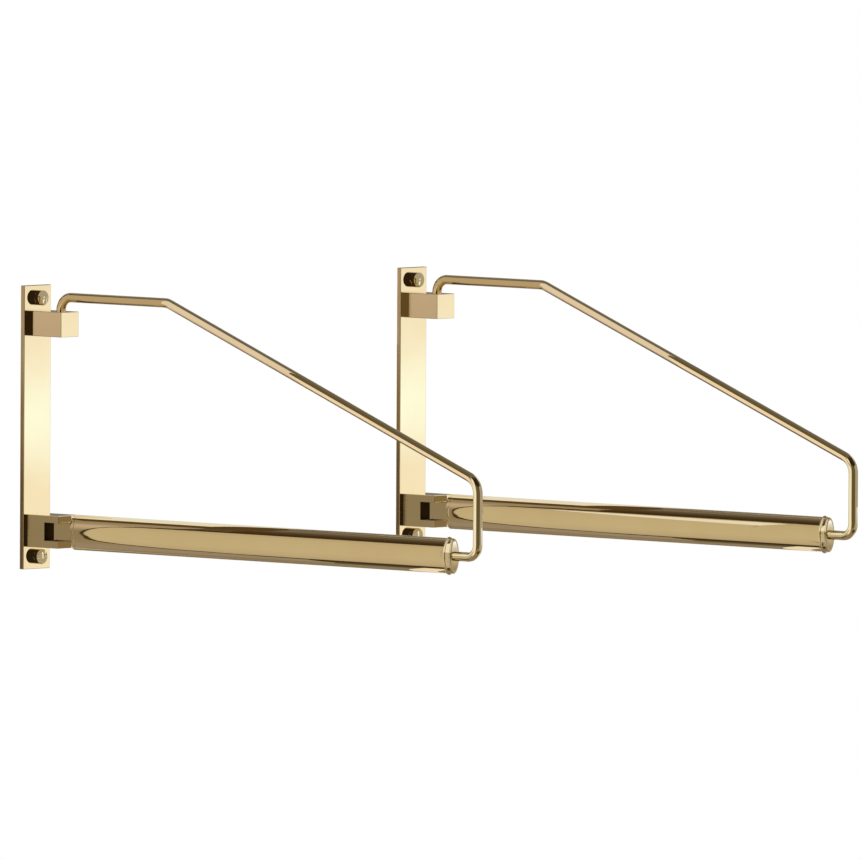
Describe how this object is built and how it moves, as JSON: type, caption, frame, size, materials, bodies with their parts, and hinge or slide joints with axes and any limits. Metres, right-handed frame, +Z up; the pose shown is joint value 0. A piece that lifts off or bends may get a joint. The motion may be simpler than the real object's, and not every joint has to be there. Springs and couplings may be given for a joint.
{
  "type": "swing-arm wall clothes rail bracket pair",
  "caption": "Pair of polished brass wall brackets, each with an oval clothes rail and a bent brace rod that swing together along the wall.",
  "frame": {"origin": "on the wall plane, at the middle of the four wall screws", "axes": "+X along the wall, from the left bracket to the right one; +Y into the wall; +Z up"},
  "size_m": [0.46, 0.5048, 0.226],
  "materials": {
    "brass": "polished",
    "steel": "zinc plated"
  },
  "bodies": {
    "wall_side": {"left_wall_plate": "brass", "left_wall_screws": "steel", "left_screw_caps": "brass", "left_upper_block": "brass", "left_lower_block": "brass", "left_block_screws": "steel", "left_hinge_pin": "brass", "right_wall_plate": "brass", "right_wall_screws": "steel", "right_screw_caps": "brass", "right_upper_block": "brass", "right_lower_block": "brass", "right_block_screws": "steel", "right_hinge_pin": "brass"},
    "left_arm": {"left_hinge_tongue": "brass", "left_rail": "brass", "left_rail_set_screws": "steel", "left_end_cap": "brass", "left_brace_rod": "brass", "left_rod_nut": "steel"},
    "right_arm": {"right_hinge_tongue": "brass", "right_rail": "brass", "right_rail_set_screws": "steel", "right_end_cap": "brass", "right_brace_rod": "brass", "right_rod_nut": "steel"}
  },
  "joints": [
    {"name": "left_arm_swing", "type": "hinge", "parent": "wall_side", "child": "left_arm", "pos_m": [-0.215, -0.03, -0.082], "axis": [0, 0, 1], "range_deg": [-90, 25]},
    {"name": "right_arm_swing", "type": "hinge", "parent": "wall_side", "child": "right_arm", "pos_m": [0.215, -0.03, -0.082], "axis": [0, 0, 1], "range_deg": [-25, 90]}
  ]
}
